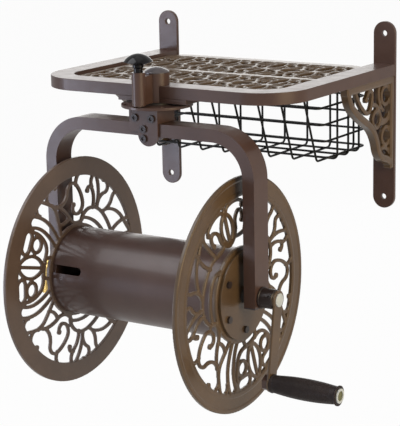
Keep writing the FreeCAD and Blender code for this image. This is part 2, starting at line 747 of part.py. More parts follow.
def clamp_spots():
    """Where the four clamp bolts pass, as (across, height)."""
    spread = size("clamp_width") / 2 - size("clamp_bolt_inset")
    upper = beam_top + size("clamp_bolt_rise")
    return ((spread, upper), (-spread, upper), (0, (beam_top + beam_bottom) / 2 + size("beam_bolt_rise")),
            (0, beam_bottom - size("clamp_bolt_radius") - size("tongue_bolt_gap")))


def clamp():
    """A block and two plates, one turned round, that grip the yoke's beam, with four through bolts."""
    half = size("clamp_width") / 2
    tongue = size("clamp_tongue")
    side = beam_bottom + size("clamp_side_rise")
    foot = side - size("clamp_plate")
    plate = size("clamp_plate")
    depth = size("yoke_depth")
    front = reel_y - depth / 2
    back = reel_y + depth / 2
    bolt = size("clamp_bolt_radius")
    hole = bolt + size("bolt_gap")
    top = ((half, swivel_bottom), (-half, swivel_bottom))
    facing = top + ((-half, side), (-tongue, side), (-tongue, foot, "arc"), (half, foot))
    turned_round = top + ((-half, foot, "arc"), (tongue, foot), (tongue, side), (half, side))
    holes = [(across, up, hole) for across, up in clamp_spots()]
    keep(slab("clamp_plate_front", "XZ_Plane", facing, plate, y=front, holes=holes), "clamp_plate_front")
    keep(slab("clamp_plate_rear", "XZ_Plane", turned_round, plate, y=back + plate, holes=holes),
         "clamp_plate_rear")
    block = box("block_body", -half, front, beam_top, size("clamp_width"), depth, size("block_height"))
    drilled = [rod("block_hole", "y", across, front, up, hole, depth) for across, up in clamp_spots()[:2]]
    keep(cut("clamp_block", block, *drilled), "clamp_block")
    head = size("bolt_head_height")
    nut = size("clamp_nut_height")
    corner_radius = bolt + size("bolt_head_lip")
    bolts = []
    nuts = []
    for across, up in clamp_spots():
        head_y = front - plate - head
        solid = fuse("bolt_solid",
                     rod("bolt_shank", "y", across, front - plate, up, bolt, depth + plate * 2 + nut),
                     rod("bolt_head", "y", across, head_y, up, corner_radius, head))
        socket = hexagon("bolt_socket", "y", across, head_y, up, size("bolt_socket"), size("socket_depth"))
        bolts.append(cut("clamp_bolt", solid, socket))
        nuts.append(cut("clamp_nut",
                        hexagon("nut_blank", "y", across, back + plate, up, corner_radius, nut),
                        rod("nut_thread", "y", across, back + plate, up, bolt + fit, nut)))
    keep(group("clamp_bolts", *bolts), "clamp_bolts")
    keep(group("clamp_nuts", *nuts), "clamp_nuts")


# Yoke: one rectangular tube bent into an arch, with a bush in each leg

def yoke_outline(inset, tail):
    """The arch seen from the front, drawn in by an inset, with the legs longer by a tail."""
    centre_x = leg_outer - size("yoke_bend")
    centre_z = beam_top - size("yoke_bend")
    outer = leg_outer - inset
    inner = leg_inner + inset
    top = beam_top - inset
    under = beam_bottom + inset
    foot = leg_bottom - tail
    return ((-outer, foot), (-outer, centre_z, "arc"), (-centre_x, top), (centre_x, top, "arc"),
            (outer, centre_z), (outer, foot), (inner, foot), (inner, centre_z, "arc"), (centre_x, under),
            (-centre_x, under, "arc"), (-inner, centre_z), (-inner, foot))


SIDES = (("left", -1), ("right", 1))


def span(sign, low, high):
    """Where a stretch along X starts on one side, from its distances out from the middle."""
    return low if sign > 0 else -high


def yoke():
    """The hollow arch, its end plugs and its axle bushes."""
    depth = size("yoke_depth")
    wall = size("yoke_wall")
    back = reel_y + depth / 2
    arch = slab("yoke_arch", "XZ_Plane", yoke_outline(0, 0), depth, y=back)
    hollow = slab("yoke_hollow", "XZ_Plane", yoke_outline(wall, wall), depth - wall * 2, y=back - wall)
    across, up = clamp_spots()[2]
    bolt = size("clamp_bolt_radius") + size("bolt_gap")
    keep(cut("yoke", arch, hollow,
             rod("bush_holes", "x", -leg_outer, reel_y, reel_z, axle_bush_outer + fit, leg_outer * 2),
             rod("beam_hole", "y", across, reel_y - depth / 2, up, bolt, depth)), "yoke")
    cap = size("plug_cap")
    play = wall + gap
    leg = size("yoke_tube")
    for side, sign in SIDES:
        leg_x = span(sign, leg_inner, leg_outer)
        lower = box("plug_foot", leg_x, reel_y - depth / 2, leg_bottom - cap, leg, depth, cap)
        upper = box("plug_stem", leg_x + play, reel_y - depth / 2 + play, leg_bottom, leg - play * 2,
                    depth - play * 2, size("plug_length") - cap)
        notch = rod("plug_notch", "x", leg_x, reel_y, reel_z, axle_bush_outer + gap, leg)
        keep(cut("leg_plug_" + side, fuse("plug_blank", lower, upper), notch), "leg_plug_" + side)
        flange = size("flange_thick")
        sleeve = fuse("axle_sleeve", rod("sleeve_body", "x", leg_x, reel_y, reel_z, axle_bush_outer, leg),
                      rod("sleeve_flange", "x", span(sign, bush_face, leg_inner), reel_y, reel_z,
                          axle_bush_outer + size("flange_lip"), flange))
        bore = rod("sleeve_bore", "x", span(sign, bush_face, leg_outer), reel_y, reel_z, axle_seat,
                   leg + flange)
        keep(cut("axle_bush_" + side, sleeve, bore), "axle_bush_" + side)


# Water inlet: a brass elbow on the left leg that the hollow axle turns in

def ball(name, x, y, z, radius):
    """A round ball about a point."""
    piece = DOC.addObject("Part::Sphere", name)
    bind(piece, "Radius", radius)
    return put(piece, x, y, z)


def inlet():
    """The elbow, with a male hose thread below, and its seal."""
    radius = axle_seat + size("inlet_wall")
    far = -leg_outer - size("inlet_reach")
    low = reel_z - size("inlet_drop")
    thread = size("thread_length")
    water = size("inlet_bore")
    wire = size("seal_wire")
    seal_x = -leg_outer - size("seal_inset")
    groove = axle_seat + wire * 2 + fit
    body = fuse("inlet_body", rod("inlet_run", "x", far, reel_y, reel_z, radius, size("inlet_reach")),
                ball("inlet_corner", far, reel_y, reel_z, radius),
                rod("inlet_fall", "z", far, reel_y, low, radius, size("inlet_drop")),
                rod("inlet_thread", "z", far, reel_y, low - thread, size("thread_radius"), thread),
                rod("inlet_collar", "x", -leg_outer - size("inlet_flange_thick"), reel_y, reel_z,
                    radius + size("inlet_flange_lip"), size("inlet_flange_thick")))
    keep(cut("inlet_elbow", body,
             rod("inlet_socket", "x", -leg_outer - size("axle_insert"), reel_y, reel_z, axle_seat,
                 size("axle_insert")),
             rod("inlet_way", "x", far, reel_y, reel_z, water, size("inlet_reach")),
             rod("inlet_mouth", "z", far, reel_y, low - thread, water, thread + size("inlet_drop")),
             rod("seal_groove", "x", seal_x - wire - fit, reel_y, reel_z, groove, (wire + fit) * 2)),
         "inlet_elbow")
    seal = DOC.addObject("Part::Torus", "inlet_seal")
    bind(seal, "Radius1", axle_seat + wire)
    bind(seal, "Radius2", wire)
    keep(put(seal, seal_x, reel_y, reel_z, ALONG_X), "inlet_seal")


# Reel discs: the strokes of one half, as (across, up) with up towards the large eye. They are
# drawn for a hub of DRAWN_HUB and a rim of DRAWN_RIM and stretched to the disc's own.
DRAWN_HUB = 75.0
DRAWN_RIM = 146.0
DISC_STROKES = (
    ((0, 147), (17, 117), (0, 87)),
    ((13, 86), (16, 79), (17, 70)),
    ((53, 124), (48, 102), (38, 89), (20, 84), (0, 86)),
    ((57, 135), (59.5, 112), (54, 92), (44, 76), (32, 64)),
    ((58, 121), (67, 130), (76, 121), (73.5, 100), (63, 78), (45, 58)),
    ((77.5, 108), (88, 117.5), (98, 106), (95, 86), (81, 67), (52, 53)),
    ((95, 82), (94, 64), (118, 47), (130, 27), (107, 5.5), (87, 20), (100, 28)),
    ((129, 27), (138, 28), (148, 21)),
    ((94, 70), (90, 53), (80, 36)),
    ((68, 61), (70, 48), (80, 36)),
    ((80, 37), (74, 21), (78, 4), (90, 2)),
    ((82, 3), (96, -11), (99, -30), (90, -53), (66, -78), (40, -87), (14, -92)),
    ((83, -2), (80, -27), (68, -52), (36, -62)),
    ((129, -15), (136, -11), (148, -16)),
    ((99, -33), (120, -34), (146, -23)),
    ((98, -35), (116, -40), (122, -50), (131, -56.5), (140, -44)),
    ((94, -47), (101, -64), (114, -71), (126, -86)),
    ((97, -60), (96, -83), (84, -107), (62, -134)),
    ((60, -79), (73, -92), (86, -122)),
    ((0, -88), (15, -112), (0, -135)),
    ((0, -133), (8, -140), (18, -149)),
    ((41, -87), (52, -104), (60, -120), (54, -138)),
)
DISC_HOOKS = (
    ((96, 90), (108, 96.5), (118, 90), (121, 79)),
    ((98, -23), (116, -22), (128, -14), (123, -4)),
    ((0, -86), (14, -92), (22, -108), (33, -122), (43, -115), (40, -105)),
    ((10, -141), (30, -140), (45, -133), (47, -125)),
)
DISC_BARS = ((-146, -86), (86, 146))
DISC_CURL = (100, 28)
EYE_CIRCLE = (34.5, 109.0, 11.5)
EYE_OVAL = ((28.5, 133.5), (44.5, 130.0))
EYE_OVAL_RADIUS = 9.5
HOOK_BALL = 0.76


def disc_point(across, up):
    """A drawn point, moved in or out with the disc's hub and rim."""
    hub = disc_hub.number
    rim = (size("disc_radius") - size("disc_rim")).number
    reach = math.hypot(across, up)
    share = (reach - DRAWN_HUB) / (DRAWN_RIM - DRAWN_HUB)
    grown = (hub + share * (rim - hub)) / reach
    return (across * grown, up * grown)


def oval_ring(start, end, radius, width):
    """A ring about a short straight line."""
    rims = []
    for reach in (radius + width / 2, radius - width / 2):
        others = [disc_face(*end, reach), band_face(start, end, reach)]
        rims.append(disc_face(*start, reach).multiFuse(others))
    return rims[0].cut(rims[1]).removeSplitter()


def band_face(start, end, half):
    """A rectangle about a straight line."""
    low = Vector(start[0], start[1], 0)
    high = Vector(end[0], end[1], 0)
    along = high.sub(low).normalize()
    side = Vector(-along.y, along.x, 0) * half
    corners = [low - side, high - side, high + side, low + side]
    return Part.Face(Part.makePolygon(corners + corners[:1]))


def disc_faces():
    """Every face of a disc's open work."""
    width = size("disc_scroll").number
    half = []
    for points in DISC_STROKES + DISC_HOOKS:
        half.append(stroke([disc_point(*point) for point in points], width))
    for end in [points[-1] for points in DISC_HOOKS] + [DISC_CURL]:
        half.append(disc_face(*disc_point(*end), width * HOOK_BALL))
    half.append(ring_face(*disc_point(*EYE_CIRCLE[:2]), EYE_CIRCLE[2], width))
    oval = oval_ring(disc_point(*EYE_OVAL[0]), disc_point(*EYE_OVAL[1]), EYE_OVAL_RADIUS, width)
    half += oval.Faces
    faces = half + [mirrored(face) for face in half]
    for low, high in DISC_BARS:
        faces.append(band_face(disc_point(0, low), disc_point(0, high), width / 2))
    return faces


def disc_profile(radius, rim, outer, inner):
    """The rim's section: flat towards the drum, with a bead at each edge and a groove on the outer face."""
    bead = size("bead_width").number
    edge = radius - rim
    floor = outer + math.copysign(size("groove_depth").number, inner - outer)
    slant = abs(floor - outer)
    corners = [(edge, outer), (edge + bead, outer), (edge + bead + slant, floor),
               (radius - bead - slant, floor), (radius - bead, outer), (radius, outer), (radius, inner),
               (edge, inner)]
    spots = [Vector(reach, 0, level) for reach, level in corners]
    return Part.Face(Part.makePolygon(spots + spots[:1]))


def reel_disc(side, sign):
    """A cast scroll disc with a beaded rim and a flat hub."""
    radius = size("disc_radius").number
    rim = size("disc_rim").number
    thick = size("disc_thick").number
    web = size("disc_web").number
    hub = disc_hub.number
    collar = ring_face(0, 0, radius - rim / 2, rim / 2)
    plate = pierced_plate([disc_face(0, 0, hub - gap.number), collar] + disc_faces(), web)
    plate.translate(Vector(0, 0, (thick - web) / 2))
    faces = (thick, 0.0) if sign > 0 else (0.0, thick)
    edge = disc_profile(radius, rim, *faces).revolve(Vector(), Vector(0, 0, 1), 360)
    boss = Part.makeCylinder(hub, thick)
    shape = plate.multiFuse([edge, boss]).removeSplitter()
    shape = shape.common(Part.makeCylinder(radius, thick))
    holes = [Part.makeCylinder(axle_seat.number, thick)]
    angle = size(side + "_disc_angle").number
    for across, up in screw_spots(angle):
        holes.append(Part.makeCylinder(size("screw_radius").number + size("bolt_gap").number, thick,
                                       Vector(across, up, 0)))
    shape = shape.cut(holes[0].multiFuse(holes[1:]))
    facing = Rotation(Vector(1, 0, 0), angle - 90).multiply(Rotation(Vector(1, 1, 1), 120))
    face_x = disc_inner.number if sign > 0 else -disc_outer.number
    middle = Vector(face_x, reel_y.number, reel_z.number)
    keep(shaped("reel_disc_" + side, shape, Placement(middle, facing)), "reel_disc_" + side)


def screw_spots(up_angle=90.0):
    """The hub screws about the axle, in a frame whose up axis has been turned to an angle."""
    circle = (hub_radius - size("screw_inset")).number
    count = int(size("screw_count").number)
    spots = []
    for index in range(count):
        angle = math.radians(360.0 * (index + 0.5) / count + 90.0 - up_angle)
        spots.append((circle * math.cos(angle), circle * math.sin(angle)))
    return spots


# Drum, hubs and axle

def radial(name, piece, angle):
    """Turn a tool that was made about X, with its top along +Z, to an angle about the axle."""
    holder = group(name, piece)
    return put(holder, 0, reel_y, reel_z, Rotation(Vector(1, 0, 0), angle.number - 90))


def drum():
    """The drum tube with the slot that the hose leaves by, and a stiff plate in each end."""
    outer = size("drum_radius")
    wall = size("drum_wall")
    length = size("drum_length")
    angle = size("slot_angle")
    slot = size("slot_width") / 2
    straight = size("slot_length") - slot
    deep = outer - wall * 2
    cutter = fuse("slot_cutter",
                  box("slot_run", -disc_inner, -slot, deep, straight, size("slot_width"), wall * 4),
                  rod("slot_end", "z", straight - disc_inner, 0, deep, slot, wall * 4))
    blank = tube("drum_blank", "x", -disc_inner, reel_y, reel_z, outer, outer - wall, length)
    keep(cut("drum", blank, radial("slot_tool", cutter, angle)), "drum")
    thick = size("drum_end_thick")
    screw = size("screw_radius") + fit
    for side, sign in SIDES:
        start = span(sign, disc_inner - thick, disc_inner)
        tools = [rod("end_bore", "x", start, reel_y, reel_z, axle_seat, thick)]
        for across, up in screw_spots():
            tools.append(rod("end_hole", "x", start, reel_y + across, reel_z + up, screw, thick))
        plate = rod("end_blank", "x", start, reel_y, reel_z, outer - wall - gap, thick)
        keep(cut("drum_end_" + side, plate, *tools), "drum_end_" + side)


def hubs():
    """The hub plates, their screws and the spacing collars on the axle."""
    thick = size("hub_plate_thick")
    head = size("screw_head_height")
    shank = size("drum_end_thick") + size("disc_thick") + thick
    collar = axle_seat + size("axle_collar_wall")
    for side, sign in SIDES:
        start = span(sign, disc_outer, hub_outer)
        tools = [rod("hub_bore", "x", start, reel_y, reel_z, axle_seat, thick)]
        screws = []
        for across, up in screw_spots():
            y = reel_y + across
            z = reel_z + up
            tools.append(rod("hub_hole", "x", start, y, z, size("screw_radius") + size("bolt_gap"), thick))
            stem = rod("screw_stem", "x", span(sign, disc_inner - size("drum_end_thick"), hub_outer), y, z,
                       size("screw_radius"), shank)
            cap = rod("screw_cap", "x", span(sign, hub_outer, hub_outer + head), y, z,
                      size("screw_radius") + size("screw_head_lip"), head)
            screws.append(fuse("hub_screw", stem, cap))
        plate = rod("hub_blank", "x", start, reel_y, reel_z, hub_radius, thick)
        keep(cut("hub_plate_" + side, plate, *tools), "hub_plate_" + side)
        keep(group("hub_screws_" + side, *screws), "hub_screws_" + side)
        keep(tube("axle_collar_" + side, "x", span(sign, hub_outer, bush_face - gap), reel_y, reel_z, collar,
                  axle_seat, size("collar_length")), "axle_collar_" + side)


def axle():
    """The hollow axle and the spud that leads water out to the drum's slot."""
    radius = size("axle_radius")
    left = -leg_outer - size("axle_insert") + gap
    angle = size("slot_angle")
    place = size("outlet_inset") - disc_inner
    port = radial("axle_port", rod("port_drill", "z", place, 0, 0, axle_bore, radius * 2), angle)
    way = rod("axle_way", "x", left, reel_y, reel_z, axle_bore, place + size("bore_overrun") - left)
    bar = rod("axle_bar", "x", left, reel_y, reel_z, radius, arm_outer - left)
    keep(cut("axle", bar, way, port), "axle")
    reach = size("drum_radius") - size("drum_wall") - size("outlet_sink")
    spud = cut("spud_blank", rod("spud_body", "z", place, 0, 0, axle_bore + size("outlet_wall"), reach),
               rod("spud_way", "z", place, 0, 0, axle_bore, reach),
               rod("spud_saddle", "x", place - reach, 0, 0, axle_seat, reach * 2))
    keep(radial("outlet_spud", spud, angle), "outlet_spud")


# Crank and hand grip

lean = size("crank_angle")
lean_sine = Size(math.sin(math.radians(lean.number)), "sin(Sizes.crank_angle * 1 deg)")
lean_cosine = Size(math.cos(math.radians(lean.number)), "cos(Sizes.crank_angle * 1 deg)")
handle_y = reel_y - size("arm_length") * lean_sine
handle_z = reel_z - size("arm_length") * lean_cosine


def crank_collar():
    """The boss between the leg and the arm, with a lip at the leg, and the set screw that grips the axle."""
    body = axle_seat + size("crank_collar_wall")
    lip = size("crank_collar_lip")
    rim = size("crank_collar_rim")
    length = size("crank_collar_length")
    profile = ((axle_seat, 0), (body + lip, 0), (body + lip, rim - lip / 2), (body + lip / 2, rim),
               (body, rim), (body, length - lip), (body - lip, length), (axle_seat, length))
    blank = turned("collar_blank", "x", leg_outer + gap, reel_y, reel_z, profile)
    screw = size("set_screw_radius")
    angle = size("set_screw_angle")
    place = leg_outer + gap + length - size("set_screw_inset")
    hole = radial("set_screw_hole", rod("set_screw_drill", "z", place, 0, 0, screw, body), angle)
    keep(cut("crank_collar", blank, hole), "crank_collar")
    sunk = body - size("set_screw_sink")
    stud = rod("set_screw_stud", "z", place, 0, axle_seat, screw - fit, sunk - axle_seat)
    keep(radial("crank_set_screw", stud, angle), "crank_set_screw")


def crank():
    """The arm, cap, spindle and nut, all fast on the axle."""
    thick = size("arm_thick")
    length = size("arm_length")
    width = size("arm_width")
    crank_collar()
    blank = fuse("arm_blank", rod("arm_hub", "x", arm_inner, 0, 0, size("arm_hub_radius"), thick),
                 rod("arm_end", "x", arm_inner, 0, -length, size("arm_end_radius"), thick),
                 box("arm_bar", arm_inner, -width / 2, -length, thick, width, length))
    arm = cut("arm_drilled", blank, rod("arm_bore", "x", arm_inner, 0, 0, axle_seat, thick),
              rod("arm_hole", "x", arm_inner, 0, -length, size("spindle_radius") + fit, thick))
    holder = group("crank_arm", arm)
    keep(put(holder, 0, reel_y, reel_z, Rotation(Vector(1, 0, 0), -lean.number)), "crank_arm")
    badge = size("axle_radius") + size("badge_lip")
    height = size("badge_height")
    brim = height / 3
    profile = ((0, height, -dome(badge, height - brim)), (badge, brim), (badge, 0), (0, 0))
    keep(turned("crank_cap", "x", arm_outer, reel_y, reel_z, profile), "crank_cap")
    nut = size("spindle_nut_height")
    radius = size("spindle_radius")
    grip_end = arm_outer + gap + size("grip_length") + gap
    tip = grip_end + size("end_washer_thick") - size("spindle_sink")
    start = arm_inner - nut
    keep(rod("handle_spindle", "x", start, handle_y, handle_z, radius, tip - start), "handle_spindle")
    keep(cut("handle_nut",
             hexagon("handle_nut_body", "x", start, handle_y, handle_z, radius + size("spindle_nut_wall"),
                     nut),
             rod("handle_nut_bore", "x", start, handle_y, handle_z, radius + fit, nut)), "handle_nut")
    keep(tube("handle_end_washer", "x", grip_end, handle_y, handle_z, radius + size("end_washer_wall"),
              radius + fit, size("end_washer_thick")), "handle_end_washer")


def hand_grip():
    """A bulged sleeve with a flange at each end that turns freely on the spindle."""
    length = size("grip_length")
    bore = size("spindle_radius") + fit * 2
    flange = size("grip_flange")
    waist = size("grip_waist")
    neck = flange - waist
    half = length / 2 - neck * 2
    belly = dome(half, size("grip_belly"))
    profile = ((bore, 0), (flange - neck / 2, 0), (flange - neck / 2, neck), (waist, neck * 2, belly),
               (waist, length - neck * 2), (flange, length - neck), (flange, length), (bore, length))
    keep(turned("hand_grip", "x", arm_outer + gap, handle_y, handle_z, profile), "hand_grip")


# Wire basket: hoops and bent wires, made as flat panels

wire = size("basket_wire")
weld = wire * 2 - size("weld_bite")
basket_half = shelf_inner - size("basket_margin")
upright_x = basket_half + weld
basket_front = -size("basket_front")
basket_back = -size("basket_back")
corner = size("hoop_corner")
bend = size("wire_bend")
HOOPS = 5


def hoop_height(index):
    """The height of one hoop, counted from the top."""
    return rim_bottom - size("basket_top") - size("hoop_step") * index


def hoop_front(index):
    """How far forward one hoop reaches: the front slopes back towards the floor."""
    return basket_front + size("basket_slope") * (index / (HOOPS - 1))


floor_z = hoop_height(HOOPS - 1) - size("floor_drop")
cross_z = floor_z + weld
slope_back = size("basket_slope")
slope_fall = hoop_height(0) - hoop_height(HOOPS - 1)
slope_length = Size(math.hypot(slope_back.number, slope_fall.number),
                    "sqrt(%s ^ 2 + %s ^ 2)" % (slope_back.formula, slope_fall.formula))
slope_sine = slope_back / slope_length
slope_cosine = slope_fall / slope_length
slope_angle = math.degrees(math.atan2(slope_back.number, slope_fall.number))
column_y = basket_front - weld * slope_cosine
column_z = hoop_height(0) - weld * slope_sine
column_length = (column_z - floor_z - bend * (1 - slope_sine)) / slope_cosine
front_bend_y = column_y + column_length * slope_sine + bend * slope_cosine
back_y = basket_back + weld
back_bend_y = back_y - bend
# Bends that lie in an upright plane: one seen from the side, one seen from the front.
SIDE_PLANE = Rotation(Vector(1, 1, 1), 120)
FRONT_PLANE = Rotation(Vector(1, 0, 0), 90)


def column_places():
    """Where the bent wires cross the front."""
    count = int(size("basket_columns").number)
    return [basket_half * ((2 * index + 1) / count - 1) for index in range(count)]


row_pitch = (basket_back - basket_front) / (size("basket_rows") + 1.5)


def row_places():
    """Where the bent wires cross the sides, from the wall forwards."""
    return [basket_back - row_pitch * (index + 0.7) for index in range(int(size("basket_rows").number))]


def run(axis, x, y, z, length):
    """One straight wire."""
    return rod("basket_run", axis, x, y, z, wire, length)


def bent(x, y, z, radius, sweep, turn):
    """A bend of one wire about a point."""
    piece = DOC.addObject("Part::Torus", "basket_bend")
    bind(piece, "Radius1", radius)
    bind(piece, "Radius2", wire)
    piece.Angle3 = sweep
    return put(piece, x, y, z, turn)


def hoop_run(y, z):
    """The straight stretch of a hoop along the front or back."""
    return run("x", corner - basket_half, y, z, (basket_half - corner) * 2)


def basket_front_panel():
    """The sloping front, whose wires lie outside the hoops and turn in under the floor."""
    wires = [hoop_run(hoop_front(index), hoop_height(index)) for index in range(HOOPS)]
    downwards = Rotation(Vector(1, 0, 0), 180 + slope_angle)
    inwards = downwards.multiply(SIDE_PLANE)
    for x in column_places():
        wires.append(put(run("z", 0, 0, 0, column_length), x, column_y, column_z, downwards))
        wires.append(bent(x, front_bend_y, floor_z + bend, bend, 90 - slope_angle, inwards))
    keep(fuse("basket_front", *wires), "basket_front")


def basket_back_panel():
    """The back, towards the wall."""
    wires = [hoop_run(basket_back, hoop_height(index)) for index in range(HOOPS)]
    low = floor_z + bend
    rising = Rotation(Vector(1, 0, 0), 270).multiply(SIDE_PLANE)
    for x in column_places():
        wires.append(run("z", x, back_y, low, hoop_height(0) - low))
        wires.append(bent(x, back_bend_y, low, bend, 90, rising))
    keep(fuse("basket_back", *wires), "basket_back")


def basket_floor_panel():
    """The floor: wires from front to back, with cross wires on top."""
    wires = [run("y", x, front_bend_y, floor_z, back_bend_y - front_bend_y) for x in column_places()]
    reach = upright_x - bend
    wires.extend(run("x", -reach, y, cross_z, reach * 2) for y in row_places())
    keep(fuse("basket_floor", *wires), "basket_floor")


def basket_side_panel(side, sign):
    """One side: the hoops' side runs with their bends, and upright wires that turn in under the floor."""
    x = basket_half * sign
    front_turn = Rotation(Vector(0, 0, 1), 270 if sign > 0 else 180)
    back_turn = Rotation(Vector(0, 0, 1), 0 if sign > 0 else 90)
    wires = []
    for index in range(HOOPS):
        front = hoop_front(index) + corner
        back = basket_back - corner
        level = hoop_height(index)
        wires.append(run("y", x, front, level, back - front))
        wires.append(bent(x - corner * sign, front, level, corner, 90, front_turn))
        wires.append(bent(x - corner * sign, back, level, corner, 90, back_turn))
    low = cross_z + bend
    turn = FRONT_PLANE.multiply(front_turn)
    for y in row_places():
        wires.append(run("z", upright_x * sign, y, low, hoop_height(0) - low))
        wires.append(bent((upright_x - bend) * sign, y, low, bend, 90, turn))
    keep(fuse("basket_" + side, *wires), "basket_" + side)


def basket_hangers():
    """Four clips that hold the top hoop under the shelf's ledge."""
    width = size("hanger_width")
    wall = size("hanger_wall")
    tab = size("hanger_tab")
    level = hoop_height(0)
    reach = wire + wall
    low = level - reach
    rows = row_places()
    clips = []
    for sign in (-1, 1):
        x = basket_half * sign
        for row in (rows[0], rows[-1]):
            y = row - (row_pitch + width) / 2
            body = box("hanger_body", x - reach, y, low, reach * 2, width, rim_bottom - low)
            arm = box("hanger_arm", span(sign, basket_half, shelf_inner), y, rim_bottom - tab,
                      size("basket_margin"), width, tab)
            eye = rod("hanger_eye", "y", x, y, level, wire + fit, width)
            clips.append(cut("hanger", fuse("hanger_blank", body, arm), eye))
    keep(group("basket_hangers", *clips), "basket_hangers")


def build():
    """Make every sub-part."""
    for side, sign in SIDES:
        wall_strap(side, sign)
        scroll_gusset(side, sign)
    shelf_frame()
    shelf_panel()
    pivot()
    dome_cap()
    index_pin()
    swivel()
    clamp()
    yoke()
    inlet()
    for side, sign in SIDES:
        reel_disc(side, sign)
    drum()
    hubs()
    axle()
    crank()
    hand_grip()
    basket_front_panel()
    basket_back_panel()
    basket_floor_panel()
    for side, sign in SIDES:
        basket_side_panel(side, sign)
    basket_hangers()
    DOC.recompute()


def check():
    """Stop if anything failed to build."""
    for thing in DOC.Objects:
        if "Invalid" in thing.State or "Error" in thing.State:
            raise RuntimeError("failed: %s %s" % (thing.Label, thing.State))
    for piece in PIECES:
        if piece.Shape.isNull() or not piece.Shape.isValid() or not piece.Shape.Solids:
            raise RuntimeError("bad shape: %s" % piece.Label)


def write():
    """Write each sub-part to its own file."""
    os.makedirs("parts", exist_ok=True)
    for piece in PIECES:
        piece.Shape.exportStep("parts/%s.step" % piece.Label)
        print(piece.Label, len(piece.Shape.Solids), round(piece.Shape.Volume / 1000, 2))


build()
check()
write()
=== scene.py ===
import json
import math

import bmesh
import bpy
import numpy as np
from mathutils import Matrix, Vector
from mathutils.kdtree import KDTree


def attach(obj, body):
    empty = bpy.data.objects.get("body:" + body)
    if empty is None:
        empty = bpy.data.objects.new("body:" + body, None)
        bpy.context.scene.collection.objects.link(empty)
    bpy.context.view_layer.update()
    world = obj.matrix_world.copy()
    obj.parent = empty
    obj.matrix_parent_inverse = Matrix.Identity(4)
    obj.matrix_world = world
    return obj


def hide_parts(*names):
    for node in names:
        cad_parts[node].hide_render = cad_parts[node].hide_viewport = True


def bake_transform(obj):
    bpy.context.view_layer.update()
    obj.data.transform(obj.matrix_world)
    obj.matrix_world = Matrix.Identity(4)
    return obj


# Looks for a garden hose reel that hangs under a scroll-work shelf.
# Metres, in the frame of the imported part: +X right, +Y into the wall, +Z up.

MM = 0.001
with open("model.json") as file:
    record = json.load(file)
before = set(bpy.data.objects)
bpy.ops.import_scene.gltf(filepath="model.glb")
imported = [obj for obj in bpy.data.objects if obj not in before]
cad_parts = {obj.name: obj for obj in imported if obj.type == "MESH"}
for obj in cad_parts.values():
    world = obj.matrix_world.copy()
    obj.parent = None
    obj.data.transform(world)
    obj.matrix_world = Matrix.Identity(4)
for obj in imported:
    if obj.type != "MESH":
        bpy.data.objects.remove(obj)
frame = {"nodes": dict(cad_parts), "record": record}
NODES = frame["nodes"]
RECORD = frame["record"]
BODIES = RECORD["behaviour"]["bodies"]
SLOT_OF = {row["node"]: row["material_slot"] for row in RECORD["subparts"]}
BODY_OF = {node: body for body, nodes in BODIES.items() for node in nodes}
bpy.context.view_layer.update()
scene = bpy.context.scene
scene.view_settings.view_transform = "Standard"


def srgb(red, green, blue):
    """A colour as seen on a screen, 0 to 255, in the linear numbers that a shader takes."""
    def linear(part):
        part /= 255
        return part / 12.92 if part <= 0.04045 else ((part + 0.055) / 1.055) ** 2.4
    return (linear(red), linear(green), linear(blue), 1.0)


# Materials, one for each slot of the record, and a cooler copy of the casting for the left disc, which
# paints the cool light that falls on it

MATERIALS = {}


class Shader:
    """A node material that is built up step by step, and kept under its name."""

    def __init__(self, name):
        material = bpy.data.materials.new(name)
        material.use_nodes = True
        MATERIALS[name] = material
        self.tree = material.node_tree
        self.surface = self.tree.nodes["Principled BSDF"]
        self.place = self.add("ShaderNodeTexCoord").outputs["Object"]

    def add(self, kind):
        return self.tree.nodes.new(kind)

    def link(self, output, socket):
        self.tree.links.new(output, socket)

    def noise(self, size, detail=3.0, stretch=None):
        """Noise whose blotches are about so many metres across, and finer along an axis by its stretch."""
        node = self.add("ShaderNodeTexNoise")
        node.inputs["Scale"].default_value = 1 / size
        node.inputs["Detail"].default_value = detail
        node.inputs["Roughness"].default_value = 0.55
        if stretch is None:
            self.link(self.place, node.inputs["Vector"])
        else:
            mapping = self.add("ShaderNodeMapping")
            mapping.inputs["Scale"].default_value = stretch
            self.link(self.place, mapping.inputs["Vector"])
            self.link(mapping.outputs["Vector"], node.inputs["Vector"])
        return node.outputs["Fac"]

    def ramp(self, factor, stops):
        """Colours along a factor: stops are (position, colour)."""
        node = self.add("ShaderNodeValToRGB")
        line = node.color_ramp
        for element, (position, colour) in zip(line.elements, stops):
            element.position = position
            element.color = colour
        self.link(factor, node.inputs["Fac"])
        return node.outputs["Color"]

    def spread(self, factor, low, high):
        """The middle part of a noise factor stretched to a range."""
        node = self.add("ShaderNodeMapRange")
        node.inputs["From Min"].default_value = 0.3
        node.inputs["From Max"].default_value = 0.7
        node.inputs["To Min"].default_value = low
        node.inputs["To Max"].default_value = high
        self.link(factor, node.inputs["Value"])
        return node.outputs["Result"]

    def bump(self, factor, height, strength, after=None):
        """Relief from a factor, so many metres high, on top of an earlier normal."""
        node = self.add("ShaderNodeBump")
        node.inputs["Distance"].default_value = height
        node.inputs["Strength"].default_value = strength
        self.link(factor, node.inputs["Height"])
        if after is not None:
            self.link(after, node.inputs["Normal"])
        return node.outputs["Normal"]

    def set(self, **values):
        """Set or link inputs of the surface, named with underscores for spaces."""
        for name, value in values.items():
            socket = self.surface.inputs[name.replace("_", " ")]
            if isinstance(value, bpy.types.NodeSocket):
                self.link(value, socket)
            else:
                socket.default_value = value


